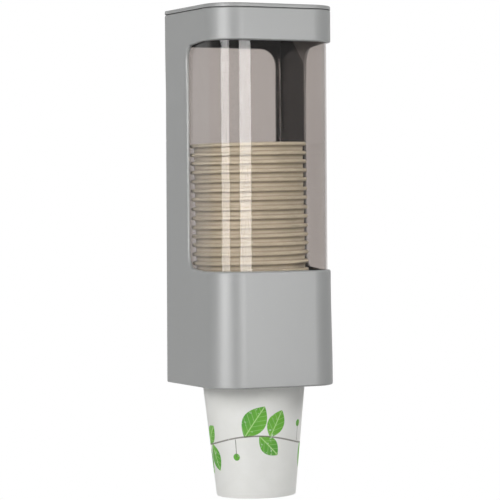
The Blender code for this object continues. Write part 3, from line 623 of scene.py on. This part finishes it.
def turned(name, profile, steps, sharp=SMOOTH_UP_TO, bulge=None):
    """A solid of revolution about Z from (radius, height) points that start and end on the axis.

    It carries the map wrap, with the turn and the share of the full height, and the attribute outside, 1 on faces
    that widen upwards. bulge, from a share of the turn and a point's number, is added to the radius.
    """
    build = bmesh.new()
    wrap = build.loops.layers.uv.new("wrap")
    outside = build.faces.layers.float.new("outside")
    top = max(height for _, height in profile)
    rows = []
    for k, (radius, height) in enumerate(profile):
        if radius == 0.0:
            rows.append([build.verts.new((0.0, 0.0, height))])
            continue
        row = []
        for i in range(steps):
            turn = 2 * math.pi * i / steps
            reach = radius + (bulge(i / steps, k) if bulge else 0.0)
            row.append(build.verts.new((reach * math.cos(turn), reach * math.sin(turn), height)))
        rows.append(row)
    for k, (low, high) in enumerate(zip(rows, rows[1:])):
        for i in range(steps):
            j = (i + 1) % steps
            corners = [low[i % len(low)]]
            shares = [(i / steps, profile[k][1])]
            if len(low) > 1:
                corners.append(low[j])
                shares.append(((i + 1) / steps, profile[k][1]))
            if len(high) > 1:
                corners.append(high[j])
                shares.append(((i + 1) / steps, profile[k + 1][1]))
            corners.append(high[i % len(high)])
            shares.append((i / steps, profile[k + 1][1]))
            face = build.faces.new(corners)
            rising = profile[k + 1][1] > profile[k][1] and profile[k + 1][0] > profile[k][0]
            face[outside] = 1.0 if rising and len(low) > 1 else 0.0
            for loop, (u, height) in zip(face.loops, shares):
                loop[wrap].uv = (u, height / top)
    bmesh.ops.recalc_face_normals(build, faces=build.faces)
    return mesh_from(name, build, sharp)


def rounded_plan(half, front, rear, front_radius, rear_radius, inset, steps):
    """Outline of the sleeve's plan, drawn in by inset, with the finer steps at its front corners."""
    half, front, rear = half - inset, front + inset, rear - inset
    bow, back = front_radius - inset, max(rear_radius - inset, LEAST_RADIUS)
    return (
        arc((half - back, rear - back), back, 0, 90, steps // 3)
        + arc((-half + back, rear - back), back, 90, 180, steps // 3)
        + arc((-half + bow, front + bow), bow, 180, 270, steps)
        + arc((half - bow, front + bow), bow, 270, 360, steps)
    )


def sleeve_mesh():
    """The clear sleeve with softly rounded ends."""
    low, high = (Vector(corner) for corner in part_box("clear_sleeve"))
    levels = []
    rows = [
        (SLEEVE_EDGE_ROUND, low.z),
        (0.0, low.z + SLEEVE_EDGE_ROUND),
        (0.0, high.z - SLEEVE_EDGE_ROUND),
        (SLEEVE_EDGE_ROUND, high.z),
        (SLEEVE_WALL - SLEEVE_EDGE_ROUND, high.z),
        (SLEEVE_WALL, high.z - SLEEVE_EDGE_ROUND),
        (SLEEVE_WALL, low.z + SLEEVE_EDGE_ROUND),
        (SLEEVE_WALL - SLEEVE_EDGE_ROUND, low.z),
    ]
    for inset, height in rows:
        outline = rounded_plan(high.x, low.y, high.y, SLEEVE_FRONT_RADIUS, SLEEVE_REAR_RADIUS, inset, SLEEVE_STEPS)
        levels.append([(x, y, height) for x, y in outline])
    return loft("clear_sleeve_shell", levels, around=True)


def cup_profile():
    """Half section of a cup: floor and folded skirt, wall, rolled rim, inner wall, from axis to axis."""
    slope = (CUP_WALL_TOP_RADIUS - CUP_BASE_RADIUS) / CUP_WALL_TOP

    def wall(height):
        return CUP_BASE_RADIUS + slope * height

    curl = (CUP_RIM_RADIUS - CUP_CURL_RADIUS, CUP_HEIGHT - CUP_CURL_RADIUS)
    under = CUP_FLOOR - CUP_PAPER
    points = [
        (0.0, under),
        (wall(under) - CUP_FOLD - 1.2 * MM, under),
        (wall(under) - CUP_FOLD, under - 0.6 * MM),
        (wall(0.0) - CUP_FOLD, 0.35 * MM),
        (wall(0.0) - CUP_FOLD * 0.7, 0.0),
        (wall(0.0) - 0.12 * MM, 0.0),
        (wall(0.3 * MM), 0.3 * MM),
    ]
    points += [(wall(CUP_WALL_TOP * share), CUP_WALL_TOP * share) for share in CUP_OUTER_SHARES]
    points += arc(curl, CUP_CURL_RADIUS, CUP_CURL_START, CUP_CURL_END, CUP_CURL_STEPS)
    points += [(wall(CUP_WALL_TOP * share) - CUP_PAPER, CUP_WALL_TOP * share) for share in CUP_INNER_SHARES]
    points += [
        (wall(CUP_FLOOR) - CUP_PAPER, CUP_FLOOR + 0.5 * MM),
        (wall(CUP_FLOOR) - CUP_PAPER - 0.5 * MM, CUP_FLOOR),
        (0.0, CUP_FLOOR),
    ]
    return points


def cup_mesh():
    """One cup. Its wall laps over itself along one line, which shows as a low step."""

    def bulge(share, k):
        rise = min(max((CUP_SEAM_WIDTH / 2 - abs(share - 0.5)) / CUP_SEAM_SLOPE, 0.0), 1.0)
        return CUP_SEAM_RISE * rise if k in CUP_OUTER_POINTS else 0.0

    return turned("cup", cup_profile(), CUP_STEPS, TURNED_SMOOTH_UP_TO, bulge)


def new_tree(name, inputs):
    """A Geometry Nodes tree with named inputs. Returns it with its input and output nodes."""
    made = bpy.data.node_groups.new(name, "GeometryNodeTree")
    made.interface.new_socket("Geometry", in_out="INPUT", socket_type="NodeSocketGeometry")
    for label, kind in inputs.items():
        made.interface.new_socket(label, in_out="INPUT", socket_type=kind)
    made.interface.new_socket("Geometry", in_out="OUTPUT", socket_type="NodeSocketGeometry")
    return made, made.nodes.new("NodeGroupInput"), made.nodes.new("NodeGroupOutput")


def join(made, *pairs):
    """Links pairs of sockets of a tree."""
    for start, end in pairs:
        made.links.new(start, end)


def copies_tree():
    """Copies of the incoming mesh in a row. Each is turned and shifted along the row at random, from a seed."""
    made, start, end = new_tree(
        "copies_in_a_row",
        {
            "Count": "NodeSocketInt",
            "Step": "NodeSocketVector",
            "Most Turn": "NodeSocketVector",
            "Most Shift": "NodeSocketVector",
            "Seed": "NodeSocketInt",
            "Material": "NodeSocketMaterial",
        },
    )
    given = start.outputs
    line = made.nodes.new("GeometryNodeMeshLine")
    turn = made.nodes.new("FunctionNodeRandomValue")
    turn.data_type = "FLOAT_VECTOR"
    shift = made.nodes.new("FunctionNodeRandomValue")
    shift.data_type = "FLOAT_VECTOR"
    opposite = made.nodes.new("ShaderNodeVectorMath")
    opposite.operation = "SCALE"
    opposite.inputs["Scale"].default_value = -1.0
    place = made.nodes.new("GeometryNodeInstanceOnPoints")
    move = made.nodes.new("GeometryNodeTranslateInstances")
    real = made.nodes.new("GeometryNodeRealizeInstances")
    paint = made.nodes.new("GeometryNodeSetMaterial")
    join(
        made,
        (given["Count"], line.inputs["Count"]),
        (given["Step"], line.inputs["Offset"]),
        (line.outputs["Mesh"], place.inputs["Points"]),
        (given["Geometry"], place.inputs["Instance"]),
        (given["Most Turn"], turn.inputs[1]),
        (given["Seed"], turn.inputs["Seed"]),
        (turn.outputs[0], place.inputs["Rotation"]),
        (given["Most Shift"], opposite.inputs[0]),
        (opposite.outputs[0], shift.inputs[0]),
        (given["Most Shift"], shift.inputs[1]),
        (given["Seed"], shift.inputs["Seed"]),
        (place.outputs["Instances"], move.inputs["Instances"]),
        (shift.outputs[0], move.inputs["Translation"]),
        (move.outputs["Instances"], real.inputs["Geometry"]),
        (real.outputs["Geometry"], paint.inputs["Geometry"]),
        (given["Material"], paint.inputs["Material"]),
        (paint.outputs["Geometry"], end.inputs["Geometry"]),
    )
    return made


COPIES = copies_tree()


def copies(mesh, finish, count, step, most_turn=(0.0, 0.0, 0.0), most_shift=(0.0, 0.0, 0.0), seed=0):
    """A plain mesh of count copies, each a step from the last."""

    def spread(carrier):
        row = carrier.modifiers.new("copies", "NODES")
        row.node_group = COPIES
        names = {item.name: item.identifier for item in COPIES.interface.items_tree if item.in_out == "INPUT"}
        row[names["Count"]] = count
        row[names["Step"]] = tuple(step)
        row[names["Most Turn"]] = tuple(most_turn)
        row[names["Most Shift"]] = tuple(most_shift)
        row[names["Seed"]] = seed
        row[names["Material"]] = finish

    return evaluated(mesh, spread)


def set_in_place(mesh, place):
    """Moves the mesh's points by a matrix."""
    mesh.transform(place)
    mesh.update()
    return mesh


def leaning():
    """Places the cups' upright frame, whose origin is where the hanging cup's wall ends, in the leaning stack."""
    return Matrix.Translation(CUP_AXIS) @ Matrix.Rotation(-STACK_LEAN, 4, "Y")


def make_cups(finish):
    """The cup that hangs out, and the stack above it as one piece, each cup turned and seated a little unevenly."""
    low = Matrix.Translation((0.0, 0.0, -CUP_WALL_TOP))
    turn = Matrix.Rotation(HANGING_CUP_TURN, 4, "Z")
    hanging = set_in_place(cup_mesh(), leaning() @ low @ turn)
    piece("lowest_cup", hanging, finish, "lowest_cup", ["cup_01"])
    stack = copies(
        cup_mesh(), finish, STACKED_CUPS, (0.0, 0.0, CUP_PITCH),
        most_turn=(0.0, 0.0, 2 * math.pi), most_shift=(0.0, 0.0, STACK_UNEVENNESS), seed=STACK_SEED,
    )
    first = Matrix.Translation((0.0, 0.0, CUP_PITCH - CUP_WALL_TOP))
    nodes = [f"cup_{i:02d}" for i in range(2, STACKED_CUPS + 2)]
    piece("cup_stack", set_in_place(stack, leaning() @ first), finish, "cup_stack", nodes)


def screw_mesh(length):
    """A pan-head screw, head down, with a cross recess. Its origin is where the head meets the surface."""
    profile = [(0.0, -SCREW_HEAD_HEIGHT)]
    for i in range(7):
        turn = math.radians(15.0 * i)
        profile.append((
            SCREW_HEAD_RADIUS * (0.55 + 0.45 * math.sin(turn)),
            -SCREW_HEAD_HEIGHT * (0.45 + 0.55 * math.cos(turn)),
        ))
    profile += [
        (SCREW_HEAD_RADIUS, -0.05 * MM),
        (SCREW_HEAD_RADIUS - 0.05 * MM, 0.0),
        (SCREW_SHANK_RADIUS, 0.0),
    ]
    turns = int(length / SCREW_THREAD_PITCH)
    for i in range(turns):
        low = 0.3 * MM + i * (length - SCREW_THREAD_PITCH) / turns
        profile += [(SCREW_SHANK_RADIUS - SCREW_THREAD_DEPTH, low), (SCREW_SHANK_RADIUS, low + 0.25 * MM)]
    profile += [
        (SCREW_SHANK_RADIUS - 0.25 * MM, length - 0.2 * MM),
        (SCREW_SHANK_RADIUS * 0.4, length),
        (0.0, length),
    ]
    head = turned("screw", profile, SCREW_STEPS, TURNED_SMOOTH_UP_TO)
    cutter = bpy.data.objects.new("recess", recess_mesh())
    bpy.context.scene.collection.objects.link(cutter)

    def cut(carrier):
        step = carrier.modifiers.new("recess", "BOOLEAN")
        step.operation = "DIFFERENCE"
        step.solver = "EXACT"
        step.object = cutter

    result = evaluated(head, cut)
    bpy.data.objects.remove(cutter)
    return result


def recess_mesh():
    """A cross that narrows towards its bottom."""
    wide, narrow = RECESS_ARM, RECESS_HALF_SLOT
    outline = [
        (wide, -narrow), (wide, narrow), (narrow, narrow), (narrow, wide), (-narrow, wide), (-narrow, narrow),
        (-wide, narrow), (-wide, -narrow), (-narrow, -narrow), (-narrow, -wide), (narrow, -wide), (narrow, -narrow),
    ]
    low, high = -SCREW_HEAD_HEIGHT - 0.5 * MM, -SCREW_HEAD_HEIGHT + RECESS_DEPTH
    rings = [[(x, y, low) for x, y in outline], [(x * 0.55, y * 0.75, high) for x, y in outline]]
    return loft("recess", rings)


def make_screws(finish):
    """The gate's four screws as one piece, and one for each claw."""
    names = [f"gate_screw_{corner}" for corner in CORNERS]
    boxes = [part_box(name) for name in names]
    centres = [(Vector(low) + Vector(high)) / 2 for low, high in boxes]
    seat = boxes[0][0][2] + SCREW_HEAD_HEIGHT
    length = boxes[0][1][2] - seat
    pair = copies(screw_mesh(length), finish, 2, (centres[1].x - centres[0].x, 0.0, 0.0))
    four = copies(pair, finish, 2, (0.0, centres[2].y - centres[0].y, 0.0))
    place = Matrix.Translation((centres[0].x, centres[0].y, seat))
    piece("gate_screws", set_in_place(four, place), finish, "dispenser", names)
    for i, corner in enumerate(CORNERS):
        low, high = (Vector(c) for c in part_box(f"claw_screw_{corner}"))
        middle = (low + high) / 2
        seat = low.z + SCREW_HEAD_HEIGHT
        mesh = screw_mesh(high.z - seat)
        turn = Matrix.Rotation(math.radians(CLAMP_SCREW_TURN + CLAMP_SCREW_TURN_MORE * i), 4, "Z")
        place = Matrix.Translation((middle.x, middle.y, seat)) @ turn
        name = f"claw_screw_{corner}"
        piece(f"clamp_screw_{corner}", set_in_place(mesh, place), finish, f"claw_set_{corner}", [name])


def make_hinge_pins(finish):
    """Both pins as one piece, with chamfered ends."""
    low, high = (Vector(c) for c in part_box("hinge_pin_left"))
    other = Vector(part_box("hinge_pin_right")[0])
    radius, length = (high.z - low.z) / 2, high.x - low.x
    profile = [(0.0, 0.0), (radius * 0.7, 0.0), (radius, PIN_CHAMFER)]
    profile += [(radius, length - PIN_CHAMFER), (radius * 0.7, length), (0.0, length)]
    pair = copies(turned("pin", profile, PIN_STEPS), finish, 2, (0.0, 0.0, other.x - low.x))
    middle = (low + high) / 2
    place = Matrix.Translation((low.x, middle.y, middle.z)) @ Matrix.Rotation(math.pi / 2, 4, "Y")
    piece("hinge_pins", set_in_place(pair, place), finish, "dispenser", ["hinge_pin_left", "hinge_pin_right"])


def make_bumpers(finish):
    """Rubber feet with a rounded outer edge and a shallow dish in the middle."""
    low, high = (Vector(c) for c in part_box("wall_bumper_left"))
    other = Vector(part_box("wall_bumper_right")[0])
    radius, depth = (high.x - low.x) / 2, high.y - low.y
    profile = [(0.0, 0.0), (radius, 0.0)]
    profile += arc((radius - BUMPER_ROUND, depth - BUMPER_ROUND), BUMPER_ROUND, 0, 90, 6)
    profile += [(radius * 0.45, depth), (radius * 0.38, depth - BUMPER_DISH), (0.0, depth - BUMPER_DISH)]
    pair = copies(turned("bumper", profile, BUMPER_STEPS, MOULDED_SMOOTH_UP_TO), finish, 2, (other.x - low.x, 0.0, 0.0))
    middle = (low + high) / 2
    place = Matrix.Translation((middle.x, low.y, middle.z)) @ Matrix.Rotation(-math.pi / 2, 4, "X")
    nodes = ["wall_bumper_left", "wall_bumper_right"]
    piece("wall_bumpers", set_in_place(pair, place), finish, "dispenser", nodes)


def make_moulded_pieces(grey, dark_inner, dark, white, soft, tape, smoke):
    """Housing, lid, wall plate with its tape, gate, clear sleeve and the claws with their lips."""
    wide = [(window_edges(True), WINDOW_LIP_ROUND, 4), (window_edges(False), 0.35 * MM, 2)]
    housing = softened("housing", 0.25 * MM, 2, dark_inner=inner_skin, wide=wide)
    lid = softened("lid", 0.30 * MM, 2, dark_inner=underside)
    piece("housing_shell", housing, grey, "dispenser", ["housing"], dark_inner)
    piece("lid_plate", lid, grey, "lid_flap", ["lid"], dark_inner)
    piece("wall_bracket", softened("wall_plate", 0.35 * MM, 2), grey, "wall_bracket", ["wall_plate"])
    piece("gate_ring", softened("cup_gate", 0.25 * MM, 2), dark, "dispenser", ["cup_gate"])
    piece("tape_pad", softened("adhesive_pad", 0.15 * MM, 2), tape, "wall_bracket", ["adhesive_pad"])
    piece("clear_sleeve_shell", sleeve_mesh(), smoke, "dispenser", ["clear_sleeve"])
    for corner in CORNERS:
        body = f"claw_set_{corner}"
        claw = softened(f"claw_{corner}", 0.30 * MM, 3)
        piece(f"claw_block_{corner}", claw, white, body, [f"claw_{corner}"])
        lip = softened(f"claw_lip_{corner}", 0.25 * MM, 3)
        piece(f"lip_{corner}", lip, soft, body, [f"claw_lip_{corner}"])


def place_camera():
    """Puts the camera where the photograph was taken from."""
    turn, pitch, roll = (math.radians(v) for v in (CAMERA_AZIMUTH, CAMERA_PITCH, CAMERA_ROLL))
    back = Vector((-math.sin(turn) * math.cos(pitch), -math.cos(turn) * math.cos(pitch), math.sin(pitch)))
    right = Vector((math.cos(turn), -math.sin(turn), 0.0))
    up = back.cross(right)
    aim = right * CAMERA_AIM_ACROSS + Vector((0.0, 0.0, CAMERA_AIM_UP)) + HOUSING_FOOT
    rolled_right = right * math.cos(roll) + up * math.sin(roll)
    rolled_up = up * math.cos(roll) - right * math.sin(roll)
    lens = bpy.data.cameras.new("camera")
    lens.sensor_fit = "HORIZONTAL"
    lens.sensor_width = SENSOR_WIDTH
    lens.lens = SENSOR_WIDTH * FOCAL_PIXELS / IMAGE_PIXELS
    camera = bpy.data.objects.new("camera", lens)
    bpy.context.scene.collection.objects.link(camera)
    pose = Matrix((rolled_right, rolled_up, back)).transposed().to_4x4()
    pose.translation = aim + back * CAMERA_DISTANCE
    camera.matrix_world = pose
    bpy.context.scene.camera = camera


# Each lamp: name, azimuth from the front towards the left and elevation in degrees, distance, width and height in
# metres, and power in watts. The softboxes give the matt light, and gloss doesn't mirror them.
SOFTBOXES = (
    ("left_softbox", 53.0, 20.0, 1.30, 0.80, 0.60, 10.0),
    ("front_softbox", 20.0, 18.0, 1.30, 0.80, 0.60, 0.7),
    ("right_softbox", -66.0, 34.0, 1.30, 0.60, 0.50, 7.0),
    ("back_softbox", 178.0, 38.0, 1.30, 0.70, 0.40, 5.0),
)
# Two boxes at the object's height that give no matt light of their own: gloss mirrors them as bright lines down the
# corners, and they shine through the clear sleeve.
STRIP_BOXES = (
    ("left_strip", 57.0, 0.6, 1.30, 0.82, 0.46, 19.0),
    ("right_strip", -14.2, 0.6, 1.30, 0.4445, 0.46, 12.7),
)
LIT_SPOT = Vector((-0.025, -0.070, 0.065))
WORLD_STRENGTH = 0.16
WHITE = (1.0, 1.0, 1.0, 1.0)
FLOOR_COLOUR = (0.85, 0.85, 0.85, 1.0)
FLOOR_ROUGHNESS = 0.9
FLOOR_DROP = 0.30
FLOOR_HALF = 6.0


def add_softbox(name, azimuth, elevation, distance, width, tall, power):
    """A rectangular lamp that faces the lit spot."""
    lamp = bpy.data.lights.new(name, "AREA")
    lamp.shape = "RECTANGLE"
    lamp.size = width
    lamp.size_y = tall
    lamp.energy = power
    holder = bpy.data.objects.new(name, lamp)
    bpy.context.scene.collection.objects.link(holder)
    turn, rise = math.radians(azimuth), math.radians(elevation)
    away = Vector((-math.sin(turn) * math.cos(rise), -math.cos(turn) * math.cos(rise), math.sin(rise)))
    aim = away.to_track_quat("Z", "Y").to_matrix().to_4x4()
    holder.matrix_world = Matrix.Translation(LIT_SPOT + away * distance) @ aim
    return holder


def seen_directly(nodes, links):
    """1 for rays from the camera, and for those that metal, gloss or clear plastic sends on, as long as no matt face
    has scattered them."""
    path = nodes.new("ShaderNodeLightPath")
    total = path.outputs["Is Camera Ray"]
    for name in ("Is Glossy Ray", "Is Transmission Ray"):
        step = nodes.new("ShaderNodeMath")
        step.operation = "MAXIMUM"
        links.new(total, step.inputs[0])
        links.new(path.outputs[name], step.inputs[1])
        total = step.outputs[0]
    direct = nodes.new("ShaderNodeMath")
    direct.operation = "LESS_THAN"
    links.new(path.outputs["Diffuse Depth"], direct.inputs[0])
    direct.inputs[1].default_value = 0.5
    both = nodes.new("ShaderNodeMath")
    both.operation = "MULTIPLY"
    links.new(total, both.inputs[0])
    links.new(direct.outputs[0], both.inputs[1])
    return both.outputs[0]


def light_the_room():
    """A dim even room, white where it is seen directly, and the lamps."""
    world = bpy.data.worlds.new("studio")
    bpy.context.scene.world = world
    world.use_nodes = True
    nodes, links = world.node_tree.nodes, world.node_tree.links
    soft = nodes["Background"]
    soft.inputs["Color"].default_value = WHITE
    soft.inputs["Strength"].default_value = WORLD_STRENGTH
    white = nodes.new("ShaderNodeBackground")
    white.inputs["Color"].default_value = WHITE
    mixed = nodes.new("ShaderNodeMixShader")
    links.new(seen_directly(nodes, links), mixed.inputs[0])
    links.new(soft.outputs[0], mixed.inputs[1])
    links.new(white.outputs[0], mixed.inputs[2])
    links.new(mixed.outputs[0], nodes["World Output"].inputs["Surface"])
    for settings in SOFTBOXES:
        add_softbox(*settings).visible_glossy = False
    for settings in STRIP_BOXES:
        add_softbox(*settings).visible_diffuse = False


def lay_floor():
    """A plain white floor well below the cup, open from underneath. Seen directly it is as white as the backdrop."""
    material = bpy.data.materials.new("studio_floor")
    material.use_nodes = True
    nodes, links = material.node_tree.nodes, material.node_tree.links
    shader = nodes["Principled BSDF"]
    shader.inputs["Base Color"].default_value = FLOOR_COLOUR
    shader.inputs["Roughness"].default_value = FLOOR_ROUGHNESS
    glow = nodes.new("ShaderNodeEmission")
    glow.inputs["Strength"].default_value = 1.0
    mixed = nodes.new("ShaderNodeMixShader")
    links.new(seen_directly(nodes, links), mixed.inputs[0])
    links.new(shader.outputs[0], mixed.inputs[1])
    links.new(glow.outputs[0], mixed.inputs[2])
    below = nodes.new("ShaderNodeNewGeometry")
    open_side = nodes.new("ShaderNodeMixShader")
    links.new(below.outputs["Backfacing"], open_side.inputs[0])
    links.new(mixed.outputs[0], open_side.inputs[1])
    links.new(nodes.new("ShaderNodeBsdfTransparent").outputs[0], open_side.inputs[2])
    links.new(open_side.outputs[0], nodes["Material Output"].inputs["Surface"])
    height = CAD_BOX[0][2] - FLOOR_DROP
    half = FLOOR_HALF
    corners = [(-half, -half, height), (half, -half, height), (half, half, height), (-half, half, height)]
    mesh = bpy.data.meshes.new("floor")
    mesh.from_pydata(corners, [], [(0, 1, 2, 3)])
    mesh.materials.append(material)
    floor = bpy.data.objects.new("floor", mesh)
    bpy.context.scene.collection.objects.link(floor)


def main():
    """Finishes, pieces, camera and light."""
    grey = moulded_plastic(
        "grey_painted_plastic", dark=(0.276, 0.281, 0.278), light=(0.293, 0.298, 0.295), edge=(0.43, 0.44, 0.44),
        roughness=0.49, sheen=0.96,
    )
    # Near-black finish of the housing's inner side and the lid's underside, much darker than the grey outside.
    dark_inner = moulded_plastic(
        "dark_inner_plastic", dark=(0.017, 0.017, 0.018), light=(0.024, 0.024, 0.025), edge=(0.05, 0.05, 0.05),
        roughness=0.72, sheen=0.12,
    )
    dark = moulded_plastic(
        "dark_moulded_plastic", dark=(0.045, 0.046, 0.048), light=(0.058, 0.059, 0.061), edge=(0.12, 0.12, 0.12),
        roughness=0.55,
    )
    white = moulded_plastic(
        "white_moulded_plastic", dark=(0.66, 0.66, 0.64), light=(0.72, 0.72, 0.71), edge=(0.80, 0.80, 0.79),
        roughness=0.42,
    )
    make_moulded_pieces(grey, dark_inner, dark, white, silicone(), foam_tape(), smoked_sleeve())
    steel = plated_steel()
    make_screws(steel)
    make_hinge_pins(steel)
    make_bumpers(black_rubber())
    make_cups(cup_board())
    place_camera()
    light_the_room()
    lay_floor()
    bpy.context.scene.view_settings.view_transform = "Standard"


main()
